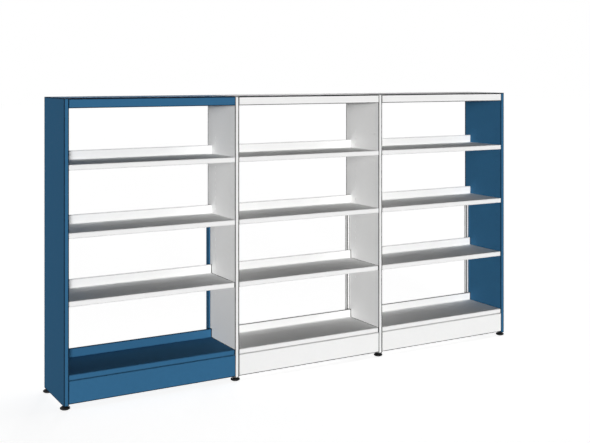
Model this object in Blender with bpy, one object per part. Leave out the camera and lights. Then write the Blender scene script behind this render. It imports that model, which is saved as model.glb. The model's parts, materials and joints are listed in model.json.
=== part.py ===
"""Single-sided library shelving unit: bays of folded sheet-steel shelves between hollow panel uprights.

X runs along the unit, Y from front to rear and Z up from the floor. The origin is on the floor, under the
middle of the unit. Each upright and each bay has an empty that its pieces are placed on.
"""

import math

import bmesh
import bpy
import numpy as np

# Driving dimensions, in metres
BAY_NAMES = ("left", "middle", "right")
UPRIGHT_NAMES = ("left_end", "left_divider", "right_divider", "right_end")
SHELF_NAMES = ("high", "mid", "low")
BLUE_UPRIGHTS = ("left_end", "right_end")
BLUE_BAYS = ("left",)

# Bay and upright panel
BAY_CLEAR = 0.900  # between the facing sides of two panels
PANEL_THICK = 0.025
PANEL_DEPTH = 0.350
PANEL_HEIGHT = 1.500
PANEL_SHEET = 0.0012
PANEL_BEND = 0.0018  # inside radius of the panel's four long folds
PANEL_SEAM = 0.001  # open seam down the middle of the rear edge, where the wrapped sheet meets
CAP_SHEET = 0.0015
CAP_FLANGE = 0.012
CAP_FLANGE_SHEET = 0.0012

# Fits
SEAT = 0.0003  # gap between pieces that touch
SHELF_PLAY = 0.001  # gap from a shelf's end to the panel beside it

# Folded shelves
SHELF_SHEET = 0.0012
SHELF_BEND = 0.0015  # inside radius of a fold
SHELF_FRONT = 0.027
SHELF_RETURN = 0.014
LIP_HEIGHT = 0.047
LIP_HEM = 0.010  # how far the lip's top turns to the rear
LIP_HEM_DROP = 0.007
HIGH_SHELF_DROP = 0.326  # panel top down to the highest shelf's top
SHELF_STEPS = 10  # slots from one shelf to the next
BASE_TOP = 0.150  # panel bottom up to the base shelf's top
END_FLANGE_SET = 0.0002  # an end flange stands in from the end of its sheet
END_FLANGE_CORNER = 0.006  # cut-off corners of an end flange

# Slots and hook-in brackets
SLOT_PITCH = 0.0333
SLOTS_ABOVE = 3  # spare slots above the highest shelf
SLOT_COUNT = 27
SLOT_FRONT = 0.045  # panel front to the front slot column
SLOT_REAR = 0.048  # rear slot column to the front of the shelf lip
SLOT_PLAY = 0.002  # slot height over the height of a hook
SLOT_SIDE_PLAY = 0.0005
BRACKET_SHEET = 0.0015
BRACKET_BEND = 0.0015
BRACKET_WIDTH = 0.018
BRACKET_HEIGHT = 0.020
BRACKET_OVERHANG = 0.012  # how far the bracket runs past each hook
HOOK_TAB = 0.005  # height of the tab that passes through a slot
HOOK_TAB_SET = 0.006  # bracket top down to the tab
HOOK_DROP = 0.005
HOOK_WIDTH = 0.0035
HOOK_GAP = 0.0004  # between hook and inside of the panel sheet

# Canopy and plinth
FASCIA_HEIGHT = 0.050
FASCIA_RETURN = 0.014
CANOPY_REAR = 0.030
CANOPY_REAR_RETURN = 0.012
CANOPY_END_FLANGE = 0.026
PLINTH_RAISE = 0.007  # panel bottom up to the plinth's bottom
PLINTH_GAP = 0.002  # plinth top up to the base shelf's front fold
PLINTH_RETURN = 0.016
PLINTH_END_FLANGE = 0.032

# Rear brace, a welded frame of rectangular tube
BRACE_POST = 0.015
BRACE_RAIL = 0.025
BRACE_DEPTH = 0.025
BRACE_WALL = 0.0015
BRACE_ROUND = 0.002
BRACE_SET = 0.013  # panel rear to the back of the brace
BRACE_CLEAR = 0.009  # brace front to the hem of a shelf lip
BRACE_LOW = 0.050  # panel bottom up to the brace's bottom
BRACE_TOP = 0.860

# Feet and the channel that carries them
FOOT_STAND = 0.020  # floor to the panel's bottom edge
FOOT_INSET = 0.025  # panel front or rear to the axis of a foot
FOOT_DISC = 0.050
FOOT_SOLE = 0.038
FOOT_CHAMFER = 0.004
FOOT_RIM = 0.009
FOOT_NECK = 0.034
COLLAR_FLATS = 0.019
COLLAR_HEIGHT = 0.0035
COLLAR_GAP = 0.0015  # collar top to the panel's bottom edge
STUD_DIAMETER = 0.010
STUD_REACH = 0.040  # panel bottom up to the stud's end
STUD_PLAY = 0.0003
CHANNEL_SHEET = 0.002
CHANNEL_BEND = 0.0015
CHANNEL_FLANGE = 0.018
CHANNEL_RAISE = 0.004  # panel bottom up to the channel's web
NUT_FLATS = 0.016
NUT_HEIGHT = 0.008

# Facets
BEND_STEPS = 2
FOOT_SIDES = 18
STUD_SIDES = 12
SMOOTH_ANGLE = math.radians(40)

# Colour, roughness and metallic value of each finish
FINISHES = {
    "blue_coat": ((0.033, 0.133, 0.258), 0.80, 0.0),
    "white_coat": ((0.90, 0.90, 0.895), 0.80, 0.0),
    "black_nylon": ((0.012, 0.012, 0.013), 0.55, 0.0),
    "zinc_plate": ((0.56, 0.57, 0.58), 0.38, 1.0),
}

# Worked out from the dimensions above
BAY_PITCH = BAY_CLEAR + PANEL_THICK
UNIT_FRONT = -PANEL_DEPTH / 2
UNIT_REAR = PANEL_DEPTH / 2
PANEL_TOP = FOOT_STAND + PANEL_HEIGHT
PANEL_CAVITY = PANEL_THICK - 2 * PANEL_SHEET
SHELF_DEPTH = PANEL_DEPTH - BRACE_SET - BRACE_DEPTH - BRACE_CLEAR - LIP_HEM
HIGH_SHELF_TOP = PANEL_TOP - HIGH_SHELF_DROP
SLOT_COLUMNS = (SLOT_FRONT, SHELF_DEPTH - SLOT_REAR)
TAB_LOW = -HOOK_TAB_SET - HOOK_TAB
PLINTH_HEIGHT = BASE_TOP - SHELF_FRONT - PLINTH_GAP - PLINTH_RAISE
FIXED_LENGTH = BAY_CLEAR - 2 * SEAT


def turned(vector, angle):
    """A 2-D vector turned anticlockwise."""
    cosine = math.cos(angle)
    sine = math.sin(angle)
    return np.array((cosine * vector[0] - sine * vector[1], sine * vector[0] + cosine * vector[1]))


def fold(corners, sheet, bend):
    """Outline of a folded sheet, given the corners of the face that lies to the left as its path is walked.

    Every fold keeps the inside radius bend, so the face outside a fold turns on that radius plus the sheet.
    """
    corners = [np.array(corner, float) for corner in corners]
    ways = [(b - a) / np.linalg.norm(b - a) for a, b in zip(corners, corners[1:])]
    left = [corners[0]]
    right = [corners[0] - turned(ways[0], math.pi / 2) * sheet]
    for corner, before, after in zip(corners[1:-1], ways, ways[1:]):
        turn = math.atan2(before[0] * after[1] - before[1] * after[0], before @ after)
        left_radius = bend if turn > 0 else bend + sheet
        right_radius = bend + sheet if turn > 0 else bend
        inward = turned(before, math.copysign(math.pi / 2, turn))
        centre = corner - before * left_radius * math.tan(abs(turn) / 2) + inward * left_radius
        for step in range(BEND_STEPS + 1):
            spoke = -turned(inward, turn * step / BEND_STEPS)
            left.append(centre + spoke * left_radius)
            right.append(centre + spoke * right_radius)
    left.append(corners[-1])
    right.append(corners[-1] - turned(ways[-1], math.pi / 2) * sheet)
    return left + right[::-1]


def rectangle(u_low, u_high, v_low, v_high):
    return [(u_low, v_low), (u_high, v_low), (u_high, v_high), (u_low, v_high)]


def polygon(sides, flats, centre=(0, 0)):
    """A regular polygon by the width across its flats, with one flat facing along the first axis."""
    radius = flats / 2 / math.cos(math.pi / sides)
    angles = [2 * math.pi * (side + 0.5) / sides for side in range(sides)]
    return [(centre[0] + radius * math.cos(a), centre[1] + radius * math.sin(a)) for a in angles]


def circle(sides, diameter, centre=(0, 0)):
    return polygon(sides, diameter * math.cos(math.pi / sides), centre)


def on_axis(along, point, place):
    """The 3-D point of an outline that is carried along X, Y or Z."""
    u, v = point
    return {"X": (place, u, v), "Y": (u, place, v), "Z": (u, v, place)}[along]


def add_prism(work, outline, along, start, end):
    """A closed solid: the outline carried straight from start to end along one axis."""
    face = work.faces.new([work.verts.new(on_axis(along, point, start)) for point in outline])
    grown = bmesh.ops.extrude_face_region(work, geom=[face])["geom"]
    far_rim = [item for item in grown if isinstance(item, bmesh.types.BMVert)]
    bmesh.ops.translate(work, verts=far_rim, vec=on_axis(along, (0, 0), end - start))


def finished(work, name):
    """The mesh of a bmesh, with its faces turned outwards."""
    bmesh.ops.recalc_face_normals(work, faces=work.faces)
    mesh = bpy.data.meshes.new(name)
    work.to_mesh(mesh)
    work.free()
    return mesh


def prisms(name, *solids):
    """A mesh of separate prisms, each given as outline, axis, start and end."""
    work = bmesh.new()
    for solid in solids:
        add_prism(work, *solid)
    return finished(work, name)


def combined(base, *steps):
    """The base mesh after each step, a Boolean operation and the mesh that it takes."""
    made = []
    for mesh in (base, *(tool for _, tool in steps)):
        helper = bpy.data.objects.new(mesh.name, mesh)
        bpy.context.scene.collection.objects.link(helper)
        made.append(helper)
    for (operation, _), helper in zip(steps, made[1:]):
        modifier = made[0].modifiers.new(operation, "BOOLEAN")
        modifier.operation = operation
        modifier.object = helper
    bpy.context.view_layer.update()
    evaluated = made[0].evaluated_get(bpy.context.evaluated_depsgraph_get())
    result = bpy.data.meshes.new_from_object(evaluated)
    for helper in made:
        bpy.data.meshes.remove(helper.data)
    return result


def make_finish(name):
    """A Principled material of one finish."""
    colour, roughness, metallic = FINISHES[name]
    material = bpy.data.materials.new(name)
    material.use_nodes = True
    shader = material.node_tree.nodes["Principled BSDF"]
    shader.inputs["Base Color"].default_value = (*colour, 1)
    shader.inputs["Roughness"].default_value = roughness
    shader.inputs["Metallic"].default_value = metallic
    material.diffuse_color = (*colour, 1)
    return material


def place(name, mesh, finish, parent, location):
    """A named piece on its empty. Like pieces share a mesh and take their finish on the object."""
    mesh.shade_smooth()
    mesh.set_sharp_from_angle(angle=SMOOTH_ANGLE)
    if not mesh.materials:
        mesh.materials.append(None)
    piece = bpy.data.objects.new(name, mesh)
    bpy.context.scene.collection.objects.link(piece)
    piece.material_slots[0].link = "OBJECT"
    piece.material_slots[0].material = finish
    piece.parent = parent
    piece.location = location
    return piece


def make_empty(name, x):
    empty = bpy.data.objects.new(name, None)
    bpy.context.scene.collection.objects.link(empty)
    empty.location = (x, 0, 0)
    return empty


def slot_cutters(sides):
    """One closed box for each slot, on the panel faces named by their sign along X."""
    height = HOOK_TAB + HOOK_DROP + SLOT_PLAY
    half_width = BRACKET_SHEET / 2 + SLOT_SIDE_PLAY
    high_slot = HIGH_SHELF_TOP - SHELF_SHEET - SEAT + TAB_LOW - SEAT - FOOT_STAND
    work = bmesh.new()
    for side in sides:
        face = side * PANEL_THICK / 2
        reach = sorted((face + side * PANEL_SHEET, face - side * 2 * PANEL_SHEET))
        for column in SLOT_COLUMNS:
            y = UNIT_FRONT + column
            for row in range(SLOT_COUNT):
                low = high_slot + (SLOTS_ABOVE - row) * SLOT_PITCH
                outline = rectangle(y - half_width, y + half_width, low, low + height)
                add_prism(work, outline, "X", *reach)
    return finished(work, "slot_cutters")


def panel_mesh(sides):
    """A wrapped sheet panel: one sheet folded round to an open seam at the rear, slotted on its bay sides."""
    half = PANEL_THICK / 2
    seam = PANEL_SEAM / 2
    walk = [
        (-seam, UNIT_REAR),
        (-half, UNIT_REAR),
        (-half, UNIT_FRONT),
        (half, UNIT_FRONT),
        (half, UNIT_REAR),
        (seam, UNIT_REAR),
    ]
    outline = fold([(x, y) for x, y in reversed(walk)], PANEL_SHEET, PANEL_BEND)
    height = PANEL_HEIGHT - CAP_SHEET - SEAT
    shell = prisms("panel", (outline, "Z", 0, height))
    return combined(shell, ("DIFFERENCE", slot_cutters(sides)))


def cap_mesh():
    """A cap over the panel's open top, with two flanges that plug inside the sheet."""
    half = PANEL_THICK / 2
    corner = PANEL_BEND + PANEL_SHEET
    outline = []
    quarter = [math.pi / 2 * step / BEND_STEPS for step in range(BEND_STEPS + 1)]
    for turn, (x, y) in enumerate(((1, 1), (-1, 1), (-1, -1), (1, -1))):
        centre = np.array((x * (half - corner), y * (PANEL_DEPTH / 2 - corner)))
        outline += [centre + turned((corner, 0), turn * math.pi / 2 + angle) for angle in quarter]
    plate = prisms("cap", (outline, "Z", -CAP_SHEET, 0))
    plug_half = PANEL_CAVITY / 2 - SEAT
    plug_end = PANEL_DEPTH / 2 - PANEL_SHEET - corner
    flanges = [rectangle(plug_half - CAP_FLANGE_SHEET, plug_half, -plug_end, plug_end)]
    flanges.append([(-x, y) for x, y in flanges[0]])
    lower = -CAP_SHEET - CAP_FLANGE
    plugs = prisms("cap_plugs", *((flange, "Z", lower, -CAP_SHEET / 2) for flange in flanges))
    return combined(plate, ("UNION", plugs))


def foot_places():
    """The Y of the front and the rear foot of a panel."""
    return {"front": UNIT_FRONT + FOOT_INSET, "rear": UNIT_REAR - FOOT_INSET}


def channel_mesh():
    """The channel in the panel's bottom, with a weld nut and a hole for each foot's stud."""
    half = PANEL_CAVITY / 2 - SEAT
    walk = [(half, CHANNEL_FLANGE), (half, 0), (-half, 0), (-half, CHANNEL_FLANGE)]
    end = PANEL_DEPTH / 2 - PANEL_SHEET - PANEL_BEND
    channel = prisms("channel", (fold(walk, CHANNEL_SHEET, CHANNEL_BEND), "Y", -end, end))
    centres = [(0, y) for y in foot_places().values()]
    top = CHANNEL_SHEET + NUT_HEIGHT
    nuts = [(polygon(6, NUT_FLATS, centre), "Z", CHANNEL_SHEET / 2, top) for centre in centres]
    bore = STUD_DIAMETER + 2 * STUD_PLAY
    holes = [(circle(STUD_SIDES, bore, centre), "Z", -CHANNEL_SHEET, top + CHANNEL_SHEET) for centre in centres]
    return combined(channel, ("UNION", prisms("nuts", *nuts)), ("DIFFERENCE", prisms("holes", *holes)))


def foot_mesh():
    """A levelling foot: a turned flared disc, a hexagon collar for a spanner and the stud, on the stud's axis."""
    collar_top = FOOT_STAND - COLLAR_GAP
    collar_low = collar_top - COLLAR_HEIGHT
    sole = FOOT_SOLE / 2
    rim = FOOT_DISC / 2
    neck = FOOT_NECK / 2
    profile = [(0, collar_low), (neck, collar_low), (rim, FOOT_RIM), (rim, FOOT_CHAMFER), (sole, 0), (0, 0)]
    work = bmesh.new()
    points = [work.verts.new((r, 0, z)) for r, z in profile]
    edges = [work.edges.new(pair) for pair in zip(points, points[1:])]
    bmesh.ops.spin(
        work, geom=points + edges, cent=(0, 0, 0), axis=(0, 0, 1), angle=2 * math.pi, steps=FOOT_SIDES
    )
    bmesh.ops.remove_doubles(work, verts=work.verts, dist=SEAT / 10)
    disc = finished(work, "foot")
    overlap = collar_low / 4
    collar = prisms("collar", (polygon(6, COLLAR_FLATS), "Z", collar_low - overlap, collar_top))
    stud_top = FOOT_STAND + STUD_REACH
    stud = prisms("stud", (circle(STUD_SIDES, STUD_DIAMETER), "Z", collar_low, stud_top))
    return combined(disc, ("UNION", collar), ("UNION", stud))


def shelf_walk():
    """Front return, front fold, top, back lip and its hem, from the shelf's front top edge."""
    return [
        (SHELF_RETURN, -SHELF_FRONT),
        (0, -SHELF_FRONT),
        (0, 0),
        (SHELF_DEPTH, 0),
        (SHELF_DEPTH, LIP_HEIGHT),
        (SHELF_DEPTH + LIP_HEM, LIP_HEIGHT),
        (SHELF_DEPTH + LIP_HEM, LIP_HEIGHT - LIP_HEM_DROP),
    ]


def shelf_mesh(length):
    outline = fold(shelf_walk(), SHELF_SHEET, SHELF_BEND)
    return prisms("shelf", (outline, "X", -length / 2, length / 2))


def end_flanges(front, rear, low, rear_low, high):
    """The two plates at the ends of a fixed sheet, by which it is bolted to the panels.

    Their lower edge runs from low at the front to rear_low at the rear, where its corner is cut off. The other
    corners are cut back until they are clear of the long folds of the sheet.
    """
    cut = END_FLANGE_CORNER
    relief = SHELF_SHEET + 2 * SHELF_BEND
    outline = [
        (front + relief, high),
        (front, high - relief),
        (front, low + relief),
        (front + relief, low),
        (rear - cut, rear_low),
        (rear, rear_low + cut),
        (rear, high - relief),
        (rear - relief, high),
    ]
    outer = FIXED_LENGTH / 2 - END_FLANGE_SET
    inner = outer - SHELF_SHEET
    return prisms("end_flanges", (outline, "X", -outer, -inner), (outline, "X", inner, outer))


def base_shelf_mesh():
    """A shelf sheet with end flanges, from its front top edge."""
    seam = SHELF_SHEET / 2
    rear = SHELF_DEPTH - SHELF_SHEET - SHELF_BEND
    flanges = end_flanges(seam, rear, seam - SHELF_FRONT, seam - SHELF_FRONT, -seam)
    return combined(shelf_mesh(FIXED_LENGTH), ("UNION", flanges))


def canopy_mesh():
    """Fascia, top and rear flange in one sheet with end flanges, from the front top edge."""
    walk = [
        (FASCIA_RETURN, -FASCIA_HEIGHT),
        (0, -FASCIA_HEIGHT),
        (0, 0),
        (PANEL_DEPTH, 0),
        (PANEL_DEPTH, -CANOPY_REAR),
        (PANEL_DEPTH - CANOPY_REAR_RETURN, -CANOPY_REAR),
    ]
    outline = fold(walk, SHELF_SHEET, SHELF_BEND)
    sheet = prisms("canopy", (outline, "X", -FIXED_LENGTH / 2, FIXED_LENGTH / 2))
    seam = SHELF_SHEET / 2
    flanges = end_flanges(seam, PANEL_DEPTH - seam, seam - FASCIA_HEIGHT, -CANOPY_END_FLANGE, -seam)
    return combined(sheet, ("UNION", flanges))


def plinth_mesh():
    """A shallow channel on edge with end flanges, from its front bottom edge."""
    walk = [(PLINTH_RETURN, 0), (0, 0), (0, PLINTH_HEIGHT), (PLINTH_RETURN, PLINTH_HEIGHT)]
    outline = fold(walk, SHELF_SHEET, SHELF_BEND)
    sheet = prisms("plinth", (outline, "X", -FIXED_LENGTH / 2, FIXED_LENGTH / 2))
    seam = SHELF_SHEET / 2
    flanges = end_flanges(seam, PLINTH_END_FLANGE, seam, seam, PLINTH_HEIGHT - seam)
    return combined(sheet, ("UNION", flanges))


def bracket_mesh(side):
    """A hook-in angle on the panel face at X = 0, reaching along side, from its top edge at the unit's front.

    Its hooks pass through two slots and drop behind the panel's sheet.
    """
    walk = [(SEAT, -BRACKET_HEIGHT), (SEAT, 0), (SEAT + BRACKET_WIDTH, 0)]
    angle = fold(walk, BRACKET_SHEET, BRACKET_BEND)
    behind = -PANEL_SHEET - HOOK_GAP
    hook = [
        (SEAT + BRACKET_SHEET / 2, -HOOK_TAB_SET),
        (SEAT + BRACKET_SHEET / 2, TAB_LOW),
        (behind, TAB_LOW),
        (behind, TAB_LOW - HOOK_DROP),
        (behind - HOOK_WIDTH / 2, TAB_LOW - HOOK_DROP),
        (behind - HOOK_WIDTH, TAB_LOW),
        (behind - HOOK_WIDTH, -HOOK_TAB_SET),
    ]
    front, rear = SLOT_COLUMNS
    half = BRACKET_SHEET / 2
    solids = [(angle, front - BRACKET_OVERHANG, rear + BRACKET_OVERHANG)]
    solids += [(hook, column - half, column + half) for column in SLOT_COLUMNS]
    meshes = [
        prisms("bracket", ([(side * x, z) for x, z in outline], "Y", start, end))
        for outline, start, end in solids
    ]
    return combined(meshes[0], *(("UNION", mesh) for mesh in meshes[1:]))


def add_ring(work, half_width, low, high, post, rail, depth):
    """A rectangular frame round a window, centred on X and Y. Returns the long edges of its bars."""
    outer = rectangle(-half_width, half_width, low, high)
    inner = rectangle(post - half_width, half_width - post, low + rail, high - rail)
    loops = []
    for outline, y in ((outer, -depth / 2), (outer, depth / 2), (inner, depth / 2), (inner, -depth / 2)):
        loops.append([work.verts.new((x, y, z)) for x, z in outline])
    for near, far in zip(loops, loops[1:] + loops[:1]):
        for corner in range(4):
            after = (corner + 1) % 4
            work.faces.new((near[corner], near[after], far[after], far[corner]))
    long_edges = []
    for loop in loops:
        long_edges += [work.edges.get((loop[corner], loop[(corner + 1) % 4])) for corner in range(4)]
    return long_edges


def brace_mesh():
    """A welded frame of rectangular tube, its posts open at the bottom, from the panel's bottom edge."""
    half = FIXED_LENGTH / 2
    work = bmesh.new()
    edges = add_ring(work, half, BRACE_LOW, BRACE_TOP, BRACE_POST, BRACE_RAIL, BRACE_DEPTH)
    bmesh.ops.bevel(work, geom=edges, offset=BRACE_ROUND, segments=BEND_STEPS, profile=0.5, affect="EDGES")
    frame = finished(work, "brace")
    wall = BRACE_WALL
    hollow = bmesh.new()
    add_ring(
        hollow,
        half - wall,
        BRACE_LOW + wall,
        BRACE_TOP - wall,
        BRACE_POST - 2 * wall,
        BRACE_RAIL - 2 * wall,
        BRACE_DEPTH - 2 * wall,
    )
    mouths = []
    bore = BRACE_POST - 4 * wall
    for side in (-1, 1):
        x = side * (half - BRACE_POST / 2)
        depth = BRACE_DEPTH / 2 - 2 * wall
        outline = rectangle(x - bore / 2, x + bore / 2, -depth, depth)
        mouths.append((outline, "Z", BRACE_LOW - wall, BRACE_LOW + BRACE_RAIL / 2))
    cuts = (finished(hollow, "brace_hollow"), prisms("brace_mouths", *mouths))
    return combined(frame, *(("DIFFERENCE", cut) for cut in cuts))


def build_uprights(finishes):
    """Each panel with its cap, foot channel and two feet."""
    cap = cap_mesh()
    channel = channel_mesh()
    foot = foot_mesh()
    last = len(UPRIGHT_NAMES) - 1
    for index, name in enumerate(UPRIGHT_NAMES):
        upright = make_empty(f"upright_{name}", (index - last / 2) * BAY_PITCH)
        coat = finishes["blue_coat" if name in BLUE_UPRIGHTS else "white_coat"]
        sides = [side for side, outside in ((-1, 0), (1, last)) if index != outside]
        place(f"panel_{name}", panel_mesh(sides), coat, upright, (0, 0, FOOT_STAND))
        place(f"top_cap_{name}", cap, coat, upright, (0, 0, PANEL_TOP))
        place(f"foot_channel_{name}", channel, finishes["zinc_plate"], upright, (0, 0, FOOT_STAND + CHANNEL_RAISE))
        for end, y in foot_places().items():
            place(f"foot_{name}_{end}", foot, finishes["black_nylon"], upright, (0, y, 0))


def build_bays(finishes):
    """Each bay's fixed sheets and brace, and its shelves on their brackets."""
    canopy = canopy_mesh()
    plinth = plinth_mesh()
    base_shelf = base_shelf_mesh()
    brace = brace_mesh()
    shelf = shelf_mesh(BAY_CLEAR - 2 * SHELF_PLAY)
    brackets = {"left": (bracket_mesh(1), -BAY_CLEAR / 2), "right": (bracket_mesh(-1), BAY_CLEAR / 2)}
    brace_y = UNIT_REAR - BRACE_SET - BRACE_DEPTH / 2
    white = finishes["white_coat"]
    for index, name in enumerate(BAY_NAMES):
        bay = make_empty(f"bay_{name}", (index - (len(BAY_NAMES) - 1) / 2) * BAY_PITCH)
        coat = finishes["blue_coat" if name in BLUE_BAYS else "white_coat"]
        place(f"canopy_{name}", canopy, coat, bay, (0, UNIT_FRONT, PANEL_TOP))
        place(f"base_shelf_{name}", base_shelf, coat, bay, (0, UNIT_FRONT, FOOT_STAND + BASE_TOP))
        place(f"plinth_{name}", plinth, coat, bay, (0, UNIT_FRONT, FOOT_STAND + PLINTH_RAISE))
        place(f"brace_{name}", brace, coat, bay, (0, brace_y, FOOT_STAND))
        for step, level in enumerate(SHELF_NAMES):
            top = HIGH_SHELF_TOP - step * SHELF_STEPS * SLOT_PITCH
            place(f"shelf_{name}_{level}", shelf, white, bay, (0, UNIT_FRONT, top))
            seat = top - SHELF_SHEET - SEAT
            for hand, (mesh, x) in brackets.items():
                place(f"bracket_{name}_{level}_{hand}", mesh, white, bay, (x, UNIT_FRONT, seat))


def main():
    for old in list(bpy.data.objects):
        bpy.data.objects.remove(old, do_unlink=True)
    finishes = {name: make_finish(name) for name in FINISHES}
    build_uprights(finishes)
    build_bays(finishes)


main()
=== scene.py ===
"""Looks of a three-bay library shelving unit of folded, powder-coated sheet steel.

X runs along the unit, Y from front to rear and Z up from the floor, in metres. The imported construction
is the frame, and each piece here stands where its solid does, with as fine a surface as the real sheet,
tube or moulding has.
"""

import json
import math

import bpy
import numpy as np
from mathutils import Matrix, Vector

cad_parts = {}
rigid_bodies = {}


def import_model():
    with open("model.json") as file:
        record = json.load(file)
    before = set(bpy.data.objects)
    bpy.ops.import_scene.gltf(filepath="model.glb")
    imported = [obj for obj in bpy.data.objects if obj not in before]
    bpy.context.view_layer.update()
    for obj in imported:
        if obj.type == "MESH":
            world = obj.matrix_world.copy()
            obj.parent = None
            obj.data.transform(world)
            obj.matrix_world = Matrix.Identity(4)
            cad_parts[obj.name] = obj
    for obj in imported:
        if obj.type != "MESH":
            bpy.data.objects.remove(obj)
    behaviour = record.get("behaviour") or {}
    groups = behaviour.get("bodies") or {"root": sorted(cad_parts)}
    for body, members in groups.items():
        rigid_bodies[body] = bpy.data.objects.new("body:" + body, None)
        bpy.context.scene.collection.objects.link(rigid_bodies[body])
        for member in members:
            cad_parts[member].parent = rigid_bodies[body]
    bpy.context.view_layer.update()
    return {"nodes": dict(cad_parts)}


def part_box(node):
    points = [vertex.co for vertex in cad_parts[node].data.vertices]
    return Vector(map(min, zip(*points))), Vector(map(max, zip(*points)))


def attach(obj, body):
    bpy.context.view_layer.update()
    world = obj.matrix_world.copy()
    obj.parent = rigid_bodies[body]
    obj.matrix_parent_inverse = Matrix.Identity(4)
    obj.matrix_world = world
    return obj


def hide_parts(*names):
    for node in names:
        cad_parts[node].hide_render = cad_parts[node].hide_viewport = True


for old in list(bpy.data.objects):
    bpy.data.objects.remove(old, do_unlink=True)
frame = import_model()


# Upright panels. Each is one sheet of steel wrapped round into a flat hollow post with an open seam down
# its rear edge, powder coated. The sides that face a bay have two columns of slots punched for brackets,
# and the panels stand on their feet and carry everything else. The two ends are blue, the dividers white.
UPRIGHTS = {
    "left_end": ("blue_coat", (1,)),
    "left_divider": ("white_coat", (-1, 1)),
    "right_divider": ("white_coat", (-1, 1)),
    "right_end": ("blue_coat", (-1,)),
}
PANEL_SHEET = 0.0012
PANEL_BEND = 0.0018
PANEL_SEAM = 0.001
# Weights of the painted shade line at each panel's seam ends and folds, heaviest at the left-hand rear fold.
PANEL_EDGES = {
    "blue_coat": (0.3, 2.4, 1.5, 0.9, 4.0, 0.3),
    "white_coat": (0.3, 2.4, 3.0, 0.9, 4.0, 0.3),
}
SLOT_COLUMNS = (-0.130, 0.070)
SLOT_WIDTH = 0.0025
SLOT_HEIGHT = 0.012
SLOT_PITCH = 0.0333
SLOT_COUNT = 27
HIGH_SLOT = 1.2811
FOLD_STEPS = 6
EDGE_RIM = 0.0028
CUT_RIM = 0.006
POINT_DECIMALS = 7
SMOOTH_ANGLE = math.radians(32)


def folded_face(corners, sheet, bend, weights=None, extra=()):
    """Points, normals and edge marks along the left-hand face of a folded sheet, walked corner to corner.

    The heading is steady along each flat and turns at a steady rate along each fold, so the face is the
    running sum of chords, each as long as its stretch times sin(t) / t, where t is half its turn. A mark
    is the weight of a fold or a free end, and falls to nothing EDGE_RIM away from it along the flats, or,
    where the weight is above two, that much times half the weight away. Extra points are put in on the
    flats, each given by the number of its flat and how far it lies from the corner where that begins.
    """
    corners = np.asarray(corners, float)
    ways = np.diff(corners, axis=0)
    headings = np.unwrap(np.arctan2(ways[:, 1], ways[:, 0]))
    turns = np.diff(headings)
    radii = np.where(turns > 0, bend, bend + sheet)
    setbacks = np.concatenate(([0], radii * np.tan(np.abs(turns) / 2), [0]))
    lengths = np.zeros(2 * len(ways) - 1)
    lengths[0::2] = np.hypot(*ways.T) - setbacks[:-1] - setbacks[1:]
    lengths[1::2] = radii * np.abs(turns)
    knots = np.concatenate(([0], np.cumsum(lengths)))
    weights = np.ones(len(ways) + 1) if weights is None else np.asarray(weights, float)
    reach = EDGE_RIM * np.maximum(1, weights / 2)
    starts = knots[0::2] + np.minimum(reach[:-1], lengths[0::2] / 2)
    stops = knots[1::2] - np.minimum(reach[1:], lengths[0::2] / 2)
    lows = np.concatenate(([0], knots[1:-1:2], knots[-1:]))
    highs = np.concatenate(([0], knots[2:-1:2], knots[-1:]))
    arcs = lows[:, None] + (highs - lows)[:, None] * np.linspace(0, 1, FOLD_STEPS + 1)
    more = [knots[2 * flat] + place - setbacks[flat] for flat, place in extra]
    stations = np.concatenate((knots, arcs.ravel(), starts, stops, more))
    stations = np.unique(np.round(stations, POINT_DECIMALS))
    bearing = np.interp(stations, knots, np.repeat(headings, 2))
    half_turn = np.diff(bearing) / 2
    chord = np.diff(stations) * np.sinc(half_turn / np.pi)
    middle = bearing[:-1] + half_turn
    steps = chord[:, None] * np.column_stack((np.cos(middle), np.sin(middle)))
    points = corners[0] + np.vstack((np.zeros(2), np.cumsum(steps, axis=0)))
    normals = np.column_stack((-np.sin(bearing), np.cos(bearing)))
    away = np.maximum(lows[:, None] - stations, stations - highs[:, None]).clip(0)
    marks = (weights[:, None] * (1 - away / reach[:, None]).clip(0)).max(axis=0)
    return points, normals, marks


def rim_marks(stations, lines, reach=EDGE_RIM):
    """Marks of stations along a sheet: one on each line, falling to nothing at some reach from it."""
    return (1 - np.abs(stations[:, None] - np.asarray(lines)) / reach).clip(0).max(axis=1)


def carried(face, stations, axes):
    """A grid of points: each point of a flat face, carried to each station along the third of the axes."""
    grid = np.empty((len(face), len(stations), 3))
    grid[..., list(axes[:2])] = face[:, None]
    grid[..., axes[2]] = stations
    return grid


def sheet_solid(near, far, marks, keep=None):
    """A closed sheet between two grids of points, as points, faces and edge marks.

    Cells of the grid where keep is false are holes. A wall joins the two faces wherever a kept cell
    borders a hole or the sheet's rim, turned so that it looks away from the kept cell.
    """
    if keep is None:
        keep = np.ones((near.shape[0] - 1, near.shape[1] - 1), bool)
    index = np.arange(near.shape[0] * near.shape[1]).reshape(near.shape[:2])
    under = index + index.size
    padded = np.pad(keep, 1)
    before, after = padded[:-1, 1:-1], padded[1:, 1:-1]
    below, above = padded[1:-1, :-1], padded[1:-1, 1:]
    across = np.stack((index[:, :-1], index[:, 1:], under[:, 1:], under[:, :-1]), -1)
    along = np.stack((index[:-1], index[1:], under[1:], under[:-1]), -1)
    faces = np.concatenate(
        (
            np.stack((index[:-1, :-1], index[:-1, 1:], index[1:, 1:], index[1:, :-1]), -1)[keep],
            np.stack((under[:-1, :-1], under[1:, :-1], under[1:, 1:], under[:-1, 1:]), -1)[keep],
            across[before & ~after],
            across[after & ~before][:, ::-1],
            along[above & ~below],
            along[below & ~above][:, ::-1],
        )
    )
    points = np.concatenate((near.reshape(-1, 3), far.reshape(-1, 3)))
    return points, [faces], np.tile(np.ravel(marks), 2)


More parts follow.
